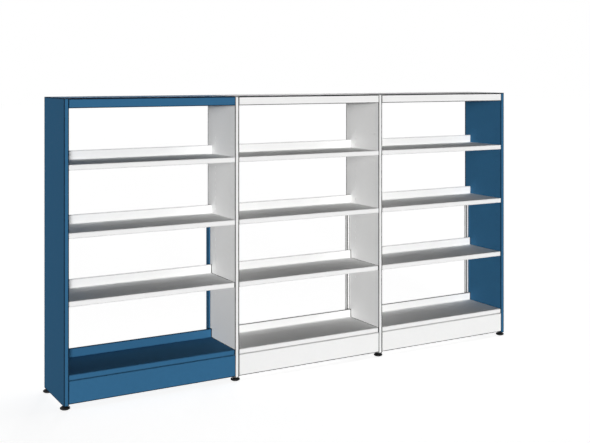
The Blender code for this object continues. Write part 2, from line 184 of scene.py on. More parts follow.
def make_piece(name, solids, finish):
    """One object from closed solids, each given as points, arrays of faces and edge marks."""
    mesh = bpy.data.meshes.new(name)
    starts = np.cumsum([0] + [len(points) for points, _, _ in solids])
    faces = []
    for (_, groups, _), start in zip(solids, starts):
        for group in groups:
            faces += (group + start).tolist()
    mesh.from_pydata(np.concatenate([points for points, _, _ in solids]), [], faces)
    edge = mesh.attributes.new("edge", "FLOAT", "POINT")
    edge.data.foreach_set("value", np.concatenate([marks for _, _, marks in solids]))
    mesh.shade_smooth()
    mesh.set_sharp_from_angle(angle=SMOOTH_ANGLE)
    mesh.materials.append(finish)
    piece = bpy.data.objects.new(name, mesh)
    bpy.context.scene.collection.objects.link(piece)
    return piece


def wire(tree, node, wires):
    """Gives each named input of a node a value, or the output that feeds it."""
    for socket, value in wires.items():
        if isinstance(value, bpy.types.NodeSocket):
            tree.links.new(value, node.inputs[socket])
        else:
            node.inputs[socket].default_value = value


def add_node(tree, kind, wires, **settings):
    """A node in a tree, with its settings and its wired inputs."""
    node = tree.nodes.new(kind)
    for setting, value in settings.items():
        setattr(node, setting, value)
    wire(tree, node, wires)
    return node


def add_maths(tree, operation, *values, **settings):
    """The result of one sum: a Math node whose inputs take the values in turn."""
    wires = dict(enumerate(values))
    return add_node(tree, "ShaderNodeMath", wires, operation=operation, **settings).outputs[0]


def add_noise(tree, place, lumps, detail):
    """Soft noise as a value about one half, with so many lumps a metre and so many finer layers on them."""
    wires = {"Vector": place, "Scale": lumps, "Detail": detail}
    return add_node(tree, "ShaderNodeTexNoise", wires).outputs[0]


def add_blend(tree, share, first, second):
    """A colour between two others, by a Mix node, whose inputs 6 and 7 and output 2 are its colours."""
    return add_node(tree, "ShaderNodeMix", {0: share, 6: first, 7: second}, data_type="RGBA").outputs[2]


def add_bump(tree, height, strength, depth):
    """A normal that leans with a height."""
    wires = {"Height": height, "Strength": strength, "Distance": depth}
    return add_node(tree, "ShaderNodeBump", wires).outputs["Normal"]


def object_place(tree):
    """Where each point lies on the piece itself."""
    return add_node(tree, "ShaderNodeTexCoord", {}).outputs["Object"]


def new_group(name, inputs, outputs):
    """An empty shader group, with the sockets that bring its inputs in and those that take its results."""
    tree = bpy.data.node_groups.new(name, "ShaderNodeTree")
    for socket, value in inputs.items():
        kind = "NodeSocketColor" if isinstance(value, tuple) else "NodeSocketFloat"
        tree.interface.new_socket(socket, in_out="INPUT", socket_type=kind).default_value = value
    for socket, kind in outputs.items():
        tree.interface.new_socket(socket, in_out="OUTPUT", socket_type=kind)
    given = tree.nodes.new("NodeGroupInput").outputs
    return tree, given, tree.nodes.new("NodeGroupOutput")


def new_material(name):
    """A material with its tree and its Principled shader."""
    material = bpy.data.materials.new(name)
    material.use_nodes = True
    return material, material.node_tree, material.node_tree.nodes["Principled BSDF"]


MID_GREY = (0.5, 0.5, 0.5, 1)
CLOUDS = (7.0, 4.0)
PATCHES = (60.0, 3.0)
ORANGE_PEEL = (620.0, 1.5)
COAT_GRAIN = (2600.0, 1.0)
COAT_GRAIN_SHARE = 0.3
RAGGED_RIM = (240.0, 3.0)
RAGGEDNESS = 0.35


def powder_coat_group():
    """Baked powder: a cloudy colour, uneven gloss, and orange peel with a fine grain on it as height.

    Clouds and patches, each about one half, are added and one is taken off, which leaves an unevenness
    about nought that lightens or darkens the colour and raises or lowers the roughness.
    """
    tree, given, result = new_group(
        "powder_coat",
        {"Colour": MID_GREY, "Clouding": 0.0, "Roughness": 0.5, "Gloss change": 0.0},
        {"Colour": "NodeSocketColor", "Roughness": "NodeSocketFloat", "Height": "NodeSocketFloat"},
    )
    place = object_place(tree)
    clouds = add_noise(tree, place, *CLOUDS)
    patches = add_noise(tree, place, *PATCHES)
    peel = add_noise(tree, place, *ORANGE_PEEL)
    grain = add_noise(tree, place, *COAT_GRAIN)
    uneven = add_maths(tree, "SUBTRACT", add_maths(tree, "ADD", clouds, patches), 1.0)
    tone = add_maths(tree, "MULTIPLY_ADD", uneven, given["Clouding"], 1.0)
    colour = add_node(
        tree, "ShaderNodeVectorMath", {0: given["Colour"], "Scale": tone}, operation="SCALE"
    )
    gloss = add_maths(tree, "MULTIPLY_ADD", uneven, given["Gloss change"], given["Roughness"])
    height = add_maths(tree, "MULTIPLY_ADD", grain, COAT_GRAIN_SHARE, peel)
    wire(tree, result, {"Colour": colour.outputs[0], "Roughness": gloss, "Height": height})
    return tree


def painted_edge_shade_group():
    """Painted shade: a dark line along folds, cut edges and joints, with a ragged rim.

    The edge mark, times one plus the raggedness times noise about nought, is the share of the painted shade
    colour.
    """
    tree, given, result = new_group(
        "painted_edge_shade",
        {"Colour": MID_GREY, "Shade colour": MID_GREY, "Edge": 0.0, "Raggedness": 0.0},
        {"Colour": "NodeSocketColor"},
    )
    rag = add_noise(tree, object_place(tree), *RAGGED_RIM)
    uneven = add_maths(tree, "SUBTRACT", rag, 0.5)
    reach = add_maths(tree, "MULTIPLY_ADD", uneven, given["Raggedness"], 1.0)
    share = add_maths(tree, "MULTIPLY", reach, given["Edge"], use_clamp=True)
    colour = add_blend(tree, share, given["Colour"], given["Shade colour"])
    wire(tree, result, {"Colour": colour})
    return tree


powder_coat = powder_coat_group()
painted_edge_shade = painted_edge_shade_group()
COAT_ROUGHNESS = 0.86
COAT_GLOSS_CHANGE = 0.1
COAT_SPECULAR = 0.1
COAT_BUMP = 0.12
COAT_BUMP_DEPTH = 0.0004


def coat_material(name, colour, shade_colour, clouding):
    """A powder coat of one colour, with painted shade lines along its edges and folds and a matt, faintly
    pebbled surface.
    """
    material, tree, shader = new_material(name)
    coat = add_node(
        tree,
        "ShaderNodeGroup",
        {
            "Colour": colour,
            "Clouding": clouding,
            "Roughness": COAT_ROUGHNESS,
            "Gloss change": COAT_GLOSS_CHANGE,
        },
        node_tree=powder_coat,
    ).outputs
    mark = add_node(tree, "ShaderNodeAttribute", {}, attribute_name="edge").outputs["Fac"]
    shaded = add_node(
        tree,
        "ShaderNodeGroup",
        {
            "Colour": coat["Colour"],
            "Shade colour": shade_colour,
            "Edge": mark,
            "Raggedness": RAGGEDNESS,
        },
        node_tree=painted_edge_shade,
    ).outputs
    surface = {
        "Base Color": shaded["Colour"],
        "Roughness": coat["Roughness"],
        "Normal": add_bump(tree, coat["Height"], COAT_BUMP, COAT_BUMP_DEPTH),
        "Specular IOR Level": COAT_SPECULAR,
    }
    wire(tree, shader, surface)
    return material


# The edge colours are painted shade: near-black lines laid along folds, cut edges and joints.
BLUE = (0.033, 0.132, 0.257, 1)
BLUE_EDGE_SHADE = (0.003, 0.008, 0.018, 1)
BLUE_CLOUDING = 0.10
WHITE = (0.90, 0.90, 0.895, 1)
WHITE_EDGE_SHADE = (0.030, 0.030, 0.032, 1)
WHITE_CLOUDING = 0.03
coats = {
    "blue_coat": coat_material("blue_powder_coat", BLUE, BLUE_EDGE_SHADE, BLUE_CLOUDING),
    "white_coat": coat_material("white_powder_coat", WHITE, WHITE_EDGE_SHADE, WHITE_CLOUDING),
}


def wrapped_panel(low, high, sides, edges):
    """A sheet wrapped round a flat box from the seam in its rear edge, with slots on the given sides."""
    left, right, front, rear = low[0], high[0], low[1], high[1]
    middle = (left + right) / 2
    seam = PANEL_SEAM / 2
    corners = [
        (middle + seam, rear),
        (right, rear),
        (right, front),
        (left, front),
        (left, rear),
        (middle - seam, rear),
    ]
    cuts = [column + shift for column in SLOT_COLUMNS for shift in (-SLOT_WIDTH / 2, SLOT_WIDTH / 2)]
    right_flat, left_flat = 1, 3
    extra = [(right_flat, rear - y) for y in cuts] + [(left_flat, y - front) for y in cuts]
    face, normals, marks = folded_face(corners, PANEL_SHEET, PANEL_BEND, edges, extra)
    slots = HIGH_SLOT - SLOT_PITCH * np.arange(SLOT_COUNT)
    rims = (low[2], low[2] + CUT_RIM, high[2] - CUT_RIM, high[2])
    heights = np.concatenate((slots, slots + SLOT_HEIGHT, rims))
    heights = np.unique(np.round(heights, POINT_DECIMALS))
    around = (face[1:] + face[:-1]) / 2 - (middle, 0)
    up = (heights[1:] + heights[:-1])[:, None] / 2
    in_column = (np.abs(around[:, 1:] - np.array(SLOT_COLUMNS)) < SLOT_WIDTH / 2).any(axis=1)
    on_side = np.isin(np.sign(around[:, 0]), sides)
    in_row = ((up > slots) & (up < slots + SLOT_HEIGHT)).any(axis=1)
    keep = ~np.outer(in_column & on_side, in_row)
    near = carried(face, heights, (0, 1, 2))
    far = carried(face - normals * PANEL_SHEET, heights, (0, 1, 2))
    ends = rim_marks(heights, (low[2], high[2]), CUT_RIM)
    return sheet_solid(near, far, np.maximum(marks[:, None], ends), keep)


for upright, (coat, sides) in UPRIGHTS.items():
    node = f"panel_{upright}"
    panel = wrapped_panel(*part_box(node), sides, PANEL_EDGES[coat])
    piece = make_piece(f"wrapped_panel_{upright}", [panel], coats[coat])
    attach(piece, "frame")
    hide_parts(node)


# Top caps. A steel plate with rounded corners closes the open top of each panel, and the two flanges
# under it plug inside the wrapped sheet. It is coated in the panel's colour.
CAP_SHEET = 0.0015
CAP_FLANGE_SHEET = 0.0012
CAP_FLANGE_GAP = 0.0003
CAP_CORNER = 0.003


def cap_plate(low, high):
    """A plate as wide as the panel, whose half width shrinks on the arc of a circle towards each end."""
    middle = (low + high) / 2
    half_width = (high[0] - low[0]) / 2
    half_depth = (high[1] - low[1]) / 2
    turn = np.linspace(0, np.pi / 2, FOLD_STEPS + 1)
    run = half_depth - CAP_CORNER + CAP_CORNER * np.sin(turn)
    run = np.concatenate((-run, run, (EDGE_RIM - half_depth, half_depth - EDGE_RIM)))
    run = np.unique(np.round(run, POINT_DECIMALS))
    past = (np.abs(run) - half_depth + CAP_CORNER).clip(0)
    width = half_width - CAP_CORNER + np.sqrt((CAP_CORNER**2 - past**2).clip(0))
    share = np.array((-1, EDGE_RIM / half_width - 1, 1 - EDGE_RIM / half_width, 1))
    marks = np.maximum(rim_marks(run, (-half_depth, half_depth))[:, None], np.abs(share) == 1)
    top = np.empty((len(run), len(share), 3))
    top[..., 0] = middle[0] + width[:, None] * share
    top[..., 1] = middle[1] + run[:, None]
    top[..., 2] = high[2]
    return sheet_solid(top, top - (0, 0, CAP_SHEET), marks)


def upright_strip(outer, inner, front, rear, low, high):
    """A flat strip on edge between two planes across X, as a grid of its four corners."""
    outer_face = np.empty((2, 2, 3))
    turned = np.sign(outer - inner)
    outer_face[..., 0] = outer
    outer_face[..., 1] = np.array((front, rear) if turned < 0 else (rear, front))[:, None]
    outer_face[..., 2] = (low, high)
    return sheet_solid(outer_face, outer_face + (inner - outer, 0, 0), np.zeros((2, 2)))


for upright, (coat, _) in UPRIGHTS.items():
    node = f"top_cap_{upright}"
    low, high = (np.array(corner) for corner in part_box(node))
    solids = [cap_plate(low, high)]
    plug_end = PANEL_SHEET + CAP_CORNER
    for side, face in ((-1, low[0]), (1, high[0])):
        outer = face - side * (PANEL_SHEET + CAP_FLANGE_GAP)
        inner = outer - side * CAP_FLANGE_SHEET
        front, rear = low[1] + plug_end, high[1] - plug_end
        solids.append(upright_strip(outer, inner, front, rear, low[2], high[2] - CAP_SHEET))
    piece = make_piece(f"capped_top_{upright}", solids, coats[coat])
    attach(piece, "frame")
    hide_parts(node)


# Foot channels. A zinc-plated steel channel is welded inside the bottom of each panel, with a weld nut
# for the stud of each foot. They hide inside the panels, so their solids stay as they are.
CRYSTALS = 420.0
CRYSTAL_GREYS = ((0.50, 0.51, 0.53, 1), (0.66, 0.67, 0.68, 1))
STAINS = (55.0, 4.0)
STAIN_TONES = ((0.84, 0.84, 0.85, 1), (1.06, 1.06, 1.05, 1))
ZINC_ROUGHNESS = (0.28, 0.48)
ROLLED_GRAIN = (1500.0, 2.0)
ZINC_BUMP = 0.1
ZINC_BUMP_DEPTH = 0.0002


def add_range(tree, value, low, high):
    """A value from nought to one, stretched between two others."""
    wires = {"Value": value, "To Min": low, "To Max": high}
    return add_node(tree, "ShaderNodeMapRange", wires).outputs[0]


def add_cells(tree, place, cells):
    """Uneven cells, so many to the metre: how far each point lies from its cell's middle, and a colour."""
    return add_node(tree, "ShaderNodeTexVoronoi", {"Vector": place, "Scale": cells}).outputs


def zinc_material():
    """Bright zinc plate: small crystals of unlike grey, uneven gloss and a fine rolled grain."""
    material, tree, shader = new_material("bright_zinc")
    place = object_place(tree)
    stains = add_noise(tree, place, *STAINS)
    grain = add_noise(tree, place, *ROLLED_GRAIN)
    greys = add_blend(tree, add_cells(tree, place, CRYSTALS)["Color"], *CRYSTAL_GREYS)
    stained = add_blend(tree, stains, *STAIN_TONES)
    colour = add_node(tree, "ShaderNodeVectorMath", {0: greys, 1: stained}, operation="MULTIPLY")
    surface = {
        "Base Color": colour.outputs[0],
        "Roughness": add_range(tree, stains, *ZINC_ROUGHNESS),
        "Normal": add_bump(tree, grain, ZINC_BUMP, ZINC_BUMP_DEPTH),
        "Metallic": 1.0,
    }
    wire(tree, shader, surface)
    return material


zinc_plate = zinc_material()
for upright in UPRIGHTS:
    channel = frame["nodes"][f"foot_channel_{upright}"]
    channel.data.materials.clear()
    channel.data.materials.append(zinc_plate)


# Levelling feet. A flared disc of black nylon with a hexagon collar for a spanner is moulded on a
# zinc-plated threaded stud, which screws up into a weld nut in the panel's foot channel.
FOOT_ENDS = ("front", "rear")
FOOT_SIDES = 72
FOOT_ROUND = 0.0022
FOOT_RIM_HEIGHT = 0.009
FOOT_SOLE_RADIUS = 0.019
FOOT_CHAMFER = 0.004
FOOT_NECK_RADIUS = 0.017
COLLAR_LOW = 0.015
COLLAR_HIGH = 0.0185
COLLAR_FLATS = 0.019
HEXAGON_CHAMFER = 0.0009
STUD_SIDES = 36
STUD_RADIUS = 0.005
STUD_CHAMFER = 0.001
THREAD_PITCH = 0.0015
THREAD_DEPTH = 0.0008
THREAD_LENGTH = 0.024
THREAD_ROWS = 8


def angles(sides):
    """Equal steps once round, from the X axis."""
    return np.linspace(0, 2 * np.pi, sides, endpoint=False)


def turned_solid(radius, height, place=(0, 0, 0)):
    """A closed form round the Z axis: a radius for each row and angle, a height for each row, flat ends.

    Rows run from the top of the axis outwards and down, and columns once round, so faces look outwards.
    """
    rows, sides = radius.shape
    way = angles(sides)
    points = np.empty((rows, sides, 3))
    points[..., 0] = radius * np.cos(way)
    points[..., 1] = radius * np.sin(way)
    points[..., 2] = np.reshape(height, (rows, -1))
    index = np.arange(rows * sides).reshape(rows, sides)
    beside = np.roll(index, -1, axis=1)
    quads = np.stack((index[:-1], index[1:], beside[1:], beside[:-1]), -1).reshape(-1, 4)
    ends = np.stack((index[0], index[-1][::-1]))
    return points.reshape(-1, 3) + place, [quads, ends], np.zeros(rows * sides)


def hexagon(sides, flats):
    """A hexagon's radius: half its width across flats, divided by the cosine to the nearest flat."""
    sixth = np.pi / 3
    return flats / 2 / np.cos((angles(sides) + sixth / 2) % sixth - sixth / 2)


def chamfered_hexagon(sides, flats, drop):
    """Hexagon rows, each some drop below a top whose corners are turned off on a cone.

    The cone is as wide as the flats at the top, and its radius grows by root 3 over 2 of the drop.
    """
    cone = flats / 2 + np.asarray(drop)[:, None] * math.sqrt(3) / 2
    return np.minimum(hexagon(sides, flats), cone)


DUST = (130.0, 4.0)
NYLON_BLACKS = ((0.0025, 0.0025, 0.0028, 1), (0.009, 0.009, 0.0095, 1))
NYLON_ROUGHNESS = (0.45, 0.7)
NYLON_SPECULAR = 0.2
SPARK_PITS = 1800.0
NYLON_BUMP = 0.2
NYLON_BUMP_DEPTH = 0.0002


def nylon_material():
    """Moulded black nylon: a spark-eroded grain, dulled and greyed a little in patches."""
    material, tree, shader = new_material("moulded_nylon")
    place = object_place(tree)
    dust = add_noise(tree, place, *DUST)
    grain = add_cells(tree, place, SPARK_PITS)[0]
    surface = {
        "Base Color": add_blend(tree, dust, *NYLON_BLACKS),
        "Roughness": add_range(tree, dust, *NYLON_ROUGHNESS),
        "Normal": add_bump(tree, grain, NYLON_BUMP, NYLON_BUMP_DEPTH),
        "Specular IOR Level": NYLON_SPECULAR,
    }
    wire(tree, shader, surface)
    return material


def foot_disc(axis, rim):
    """Collar and flared disc in one turned form, its flare, rim and chamfer rounded into each other."""
    collar = COLLAR_HIGH - COLLAR_LOW
    drops = np.array((0, HEXAGON_CHAMFER / 3, HEXAGON_CHAMFER, 2 * HEXAGON_CHAMFER, collar))
    corners = [
        (FOOT_NECK_RADIUS, COLLAR_LOW),
        (rim, FOOT_RIM_HEIGHT),
        (rim, FOOT_CHAMFER),
        (FOOT_SOLE_RADIUS, 0),
    ]
    flare = folded_face(corners, 0, FOOT_ROUND)[0]
    rows = (
        chamfered_hexagon(FOOT_SIDES, COLLAR_FLATS, drops),
        np.repeat(flare[:, :1], FOOT_SIDES, axis=1),
    )
    height = np.concatenate((COLLAR_HIGH - drops, flare[:, 1]))
    return turned_solid(np.concatenate(rows), height, axis)


def foot_stud(axis, top):
    """A stud whose radius dips by a triangle wave that climbs one pitch a turn, plain above its thread."""
    start = COLLAR_HIGH - STUD_CHAMFER
    rows = int(THREAD_LENGTH / THREAD_PITCH * THREAD_ROWS)
    climb = np.linspace(start + THREAD_LENGTH, start, rows)
    phase = climb[:, None] / THREAD_PITCH - angles(STUD_SIDES) / (2 * np.pi)
    thread = STUD_RADIUS - THREAD_DEPTH * np.abs(2 * (phase % 1) - 1)
    plain = np.full((2, STUD_SIDES), STUD_RADIUS - THREAD_DEPTH / 2)
    radius = np.concatenate((plain[:1] - STUD_CHAMFER, plain, thread))
    height = np.concatenate(((top, top - STUD_CHAMFER, climb[0] + THREAD_PITCH), climb))
    return turned_solid(radius, height, axis)


black_nylon = nylon_material()
for upright in UPRIGHTS:
    for end in FOOT_ENDS:
        node = f"foot_{upright}_{end}"
        low, high = (np.array(corner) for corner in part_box(node))
        axis = (*((low + high) / 2)[:2], 0)
        disc = make_piece(f"moulded_{node}", [foot_disc(axis, (high[0] - low[0]) / 2)], black_nylon)
        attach(disc, node)
        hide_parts(node)
        stud = make_piece(f"stud_{upright}_{end}", [foot_stud(axis, high[2])], zinc_plate)
        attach(stud, node)


# Rear braces. Each bay is squared by a frame of rectangular steel tube, mitred and welded at its corners,
# that is screwed to the panels at either side, behind the lower shelves. It takes the colour of its bay.
BAYS = {"left": "blue_coat", "middle": "white_coat", "right": "white_coat"}
BRACE_POST = 0.015
BRACE_RAIL = 0.025
BRACE_ROUND = 0.002
BRACE_EDGES = (0, 1.8, 1.8, 0.4, 1, 0)


def tube_section(depth):
    """One turn of a post's rounded rectangle: how far in from its outer side each point is, and how deep."""
    width = BRACE_POST
    corners = [(width / 2, 0), (width, 0), (width, depth), (0, depth), (0, 0), (width / 2, 0)]
    points, _, marks = folded_face(corners, 0, BRACE_ROUND, BRACE_EDGES)
    return points[:-1], marks[:-1]


def welded_frame(low, high):
    """A tube section carried round a rectangle. At each mitre a point keeps its distance in from both bars.

    A rail is a post made wider: the half of its section that looks into the frame lies further in.
    """
    post, marks = tube_section(high[1] - low[1])
    rail = post[:, 0] + (BRACE_RAIL - BRACE_POST) * (post[:, 0] > BRACE_POST / 2)
    inner = np.column_stack((post, rail))
    inward = np.array(((1, 1, 1), (-1, 1, 1), (-1, 1, -1), (1, 1, -1)))
    corner = np.where(inward > 0, low, high)
    points = corner[:, None] + inward[:, None] * inner
    index = np.arange(points.shape[0] * points.shape[1]).reshape(points.shape[:2])
    onward = np.roll(index, -1, axis=0)
    quads = np.stack((index, onward, np.roll(onward, -1, axis=1), np.roll(index, -1, axis=1)), -1)
    return points.reshape(-1, 3), [quads.reshape(-1, 4)], np.tile(marks, len(corner))


for bay, coat in BAYS.items():
    node = f"brace_{bay}"
    low, high = (np.array(corner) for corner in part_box(node))
    piece = make_piece(f"welded_brace_{bay}", [welded_frame(low, high)], coats[coat])
    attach(piece, "frame")
    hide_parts(node)


# Plinths. A shallow channel of sheet steel on edge closes the front below the base shelf. Plates folded
# back at its ends are bolted to the panels, and a strip welded behind its top covers the joint with the
# base shelf.
FOLD_SHEET = 0.0012
FOLD_BEND = 0.0015
PLINTH_RETURN = 0.016
PLINTH_FLANGE = 0.032
PLINTH_EDGES = (0.15, 1.3, 0.2, 0.15)
PLINTH_ENDS = (0.4, 0.4)
FLANGE_SET = 0.0002
FLANGE_CORNER = 0.006
JOINT_STRIP = 0.008
JOINT_STRIP_SET = 0.005


def folded_sheet(corners, ends, weights, end_weights):
    """A folded sheet: its face across Y and Z carried along X, with marks at its folds and its two ends."""
    face, normals, marks = folded_face(corners, FOLD_SHEET, FOLD_BEND, weights)
    left_reach, right_reach = EDGE_RIM * np.maximum(1, np.asarray(end_weights) / 2)
    stations = np.array((ends[0], ends[0] + left_reach, ends[1] - right_reach, ends[1]))
    across = np.array((end_weights[0], 0, 0, end_weights[1]))
    near = carried(face, stations, (1, 2, 0))
    far = carried(face - normals * FOLD_SHEET, stations, (1, 2, 0))
    return sheet_solid(near, far, np.maximum(marks[:, None], across))


def end_flanges(ends, front, rear, low, rear_low, high):
    """The plates at both ends of a fixed sheet: strips on edge between a lower and an upper outline.

    The lower edge runs from low at the front to rear_low at the rear, where its corner is cut off. The
    other corners are cut by bend * (2 - root 2), which just clears the inside of a square fold.
    """
    cut = FOLD_BEND * (2 - math.sqrt(2))
    outline = np.array(
        (
            (front, low + cut, high - cut),
            (front + cut, low, high),
            (rear - FLANGE_CORNER, rear_low, high),
            (rear - cut, rear_low + FLANGE_CORNER - cut, high),
            (rear, rear_low + FLANGE_CORNER, high - cut),
        )
    )
    solids = []
    for side, end in zip((-1, 1), ends):
        turned = outline[::-side]
        face = np.empty((len(outline), 2, 3))
        face[..., 0] = end - side * FLANGE_SET
        face[..., 1] = turned[:, :1]
        face[..., 2] = turned[:, 1:]
        solids.append(sheet_solid(face, face - (side * FOLD_SHEET, 0, 0), np.zeros((len(outline), 2))))
    return solids


def joint_strip(ends, front, low, high):
    """A flat strip on edge along X, as a grid of its four corners, that stops short of both ends."""
    face = np.empty((2, 2, 3))
    face[..., 0] = np.array((ends[1] - JOINT_STRIP_SET, ends[0] + JOINT_STRIP_SET))[:, None]
    face[..., 1] = front
    face[..., 2] = (low, high)
    return sheet_solid(face, face + (0, FOLD_SHEET, 0), np.zeros((2, 2)))


for bay, coat in BAYS.items():
    node = f"plinth_{bay}"
    low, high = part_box(node)
    ends = (low[0], high[0])
    corners = [
        (low[1] + PLINTH_RETURN, low[2]),
        (low[1], low[2]),
        (low[1], high[2]),
        (low[1] + PLINTH_RETURN, high[2]),
    ]
    sheet = folded_sheet(corners, ends, PLINTH_EDGES, PLINTH_ENDS)
    bottom = low[2] + FOLD_SHEET
    rear = low[1] + PLINTH_FLANGE
    flanges = end_flanges(ends, low[1] + FOLD_SHEET, rear, bottom, bottom, high[2] - FOLD_SHEET)
    strip = joint_strip(ends, low[1] + PLINTH_RETURN, high[2] - FOLD_SHEET, high[2] + JOINT_STRIP)
    piece = make_piece(f"folded_plinth_{bay}", [sheet, *flanges, strip], coats[coat])
    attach(piece, "frame")
    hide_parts(node)


# Base shelves. One sheet folded into a front edge, a deck and a back lip with a rolled-over top, like the
# shelves above, but with plates turned down at its ends that are bolted to the panels.
SHELF_FRONT = 0.027
SHELF_RETURN = 0.014
LIP_HEIGHT = 0.047
LIP_HEM = 0.010
LIP_HEM_DROP = 0.007
BASE_EDGES = (0.15, 0.25, 0.25, 0.2, 0.8, 0.8, 0.15)
# The heavy weight at the right-hand end paints a dark shade line where the deck meets the panel.
BASE_ENDS = (0.4, 4.0)


def shelf_corners(front, rear, top):
    """Front return, front edge, deck, back lip and its hem."""
    lip = rear - LIP_HEM
    return [
        (front + SHELF_RETURN, top - SHELF_FRONT),
        (front, top - SHELF_FRONT),
        (front, top),
        (lip, top),
        (lip, top + LIP_HEIGHT),
        (rear, top + LIP_HEIGHT),
        (rear, top + LIP_HEIGHT - LIP_HEM_DROP),
    ]


for bay, coat in BAYS.items():
    node = f"base_shelf_{bay}"
    low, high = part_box(node)
    ends = (low[0], high[0])
    top = high[2] - LIP_HEIGHT
    sheet = folded_sheet(shelf_corners(low[1], high[1], top), ends, BASE_EDGES, BASE_ENDS)
    bottom = low[2] + FOLD_SHEET
    rear = high[1] - LIP_HEM - FOLD_SHEET - FOLD_BEND
    flanges = end_flanges(ends, low[1] + FOLD_SHEET, rear, bottom, bottom, top - FOLD_SHEET)
    piece = make_piece(f"folded_base_shelf_{bay}", [sheet, *flanges], coats[coat])
    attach(piece, "frame")
    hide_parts(node)


# Canopies. One sheet folded into a fascia, a top and a rear flange closes each bay, flush with the panel
# tops. Plates turned down at its ends are bolted to the panels.
FASCIA_RETURN = 0.014
CANOPY_REAR = 0.030
CANOPY_REAR_RETURN = 0.012
CANOPY_FLANGE = 0.026
# The heavy weights at the fascia's top fold and the top's rear fold paint dark shade lines along the
# canopy's top.
CANOPY_EDGES = (0.15, 0.9, 3.8, 2.4, 0.5, 0.15)
CANOPY_ENDS = (0.4, 0.4)

for bay, coat in BAYS.items():
    node = f"canopy_{bay}"
    low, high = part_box(node)
    ends = (low[0], high[0])
    corners = [
        (low[1] + FASCIA_RETURN, low[2]),
        (low[1], low[2]),
        (low[1], high[2]),
        (high[1], high[2]),
        (high[1], high[2] - CANOPY_REAR),
        (high[1] - CANOPY_REAR_RETURN, high[2] - CANOPY_REAR),
    ]
    sheet = folded_sheet(corners, ends, CANOPY_EDGES, CANOPY_ENDS)
    bottom = low[2] + FOLD_SHEET
    rear = high[1] - FOLD_SHEET
    rear_bottom = high[2] - CANOPY_FLANGE
    flanges = end_flanges(ends, low[1] + FOLD_SHEET, rear, bottom, rear_bottom, high[2] - FOLD_SHEET)
    piece = make_piece(f"folded_canopy_{bay}", [sheet, *flanges], coats[coat])
    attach(piece, "frame")
    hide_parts(node)


# Shelf brackets. Hook-in angles of coated steel hang in the panel slots at both ends of every shelf, where
# the front edge hides them. Their solids are right as they are and take the white coat.
SHELF_LEVELS = ("high", "mid", "low")
BRACKET_HANDS = ("left", "right")

for bay in BAYS:
    for level in SHELF_LEVELS:
        for hand in BRACKET_HANDS:
            bracket = frame["nodes"][f"bracket_{bay}_{level}_{hand}"]
            bracket.data.materials.clear()
            bracket.data.materials.append(coats["white_coat"])


# Shelves. One sheet folded into a front edge, a deck and a back lip with a rolled-over top, white in every
# bay. Each lies loose on a pair of brackets and lifts off. The low ones carry a heavy painted shade line at
# their right-hand end, where they meet the panel.
SHELF_EDGES = (0.08, 0.12, 0.15, 0.1, 0.2, 0.15, 0.08)
SHELF_ENDS = {"high": (0.25, 0.25), "mid": (0.25, 0.25), "low": (0.3, 3.6)}

for bay in BAYS:
    for level in SHELF_LEVELS:
        node = f"shelf_{bay}_{level}"
        low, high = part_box(node)
        corners = shelf_corners(low[1], high[1], high[2] - LIP_HEIGHT)
        sheet = folded_sheet(corners, (low[0], high[0]), SHELF_EDGES, SHELF_ENDS[level])
        piece = make_piece(f"folded_{node}", [sheet], coats["white_coat"])
        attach(piece, node)
        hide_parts(node)


# Bolts. Zinc-plated hexagon bolts with washers hold the end plates of canopy, base shelf and plinth to the
# panels, and socket screws go through the posts of the brace.
BOLT_SIDES = 24
BOLT_FLATS = 0.010
BOLT_HEAD = 0.004
WASHER_RADIUS = 0.00625
WASHER_SHEET = 0.0012
WASHER_ROUND = 0.0003
SCREW_RADIUS = 0.005
SCREW_HEAD = 0.0028
SOCKET_FLATS = 0.004
SOCKET_DEPTH = 0.0016
DOME_STEPS = 5
CANOPY_BOLTS = (-0.120, 0.120)
CANOPY_BOLT_DROP = 0.015
BASE_BOLTS = (-0.110, 0.070)
BASE_BOLT_DROP = 0.0135
PLINTH_BOLT_SET = 0.021
PLINTH_BOLTS = (0.032, 0.082)
BRACE_SCREWS = (0.120, 0.500, 0.825)


def facing_bay(solid, place, side):
    """A turned form laid over so that its axis looks along X, away from the given side."""
    points, faces, marks = solid
    x, y, z = points.T
    return np.column_stack((-side * z, y, side * x)) + place, faces, marks


def hexagon_bolt():
    """Head, with its corners turned off, and washer."""
    drops = np.array((0, HEXAGON_CHAMFER / 2, HEXAGON_CHAMFER, BOLT_HEAD))
    head = chamfered_hexagon(BOLT_SIDES, BOLT_FLATS, drops)
    rim = WASHER_RADIUS - WASHER_ROUND
    washer = np.repeat([[rim], [WASHER_RADIUS], [WASHER_RADIUS]], BOLT_SIDES, axis=1)
    height = (*(WASHER_SHEET + BOLT_HEAD - drops), WASHER_SHEET, WASHER_SHEET - WASHER_ROUND, 0)
    return turned_solid(np.concatenate((head, washer)), height)


def socket_screw():
    """A domed head: the hexagon socket's floor and wall, then a quarter of an ellipse out to the rim."""
    socket = np.tile(hexagon(BOLT_SIDES, SOCKET_FLATS), (2, 1))
    mouth = SCREW_RADIUS / 2
    turn = np.linspace(0, np.pi / 2, DOME_STEPS)
    dome = np.repeat(mouth + (SCREW_RADIUS - mouth) * np.sin(turn)[:, None], BOLT_SIDES, axis=1)
    height = (SCREW_HEAD - SOCKET_DEPTH, SCREW_HEAD, *(SCREW_HEAD * np.cos(turn)))
    return turned_solid(np.concatenate((socket, dome)), height)


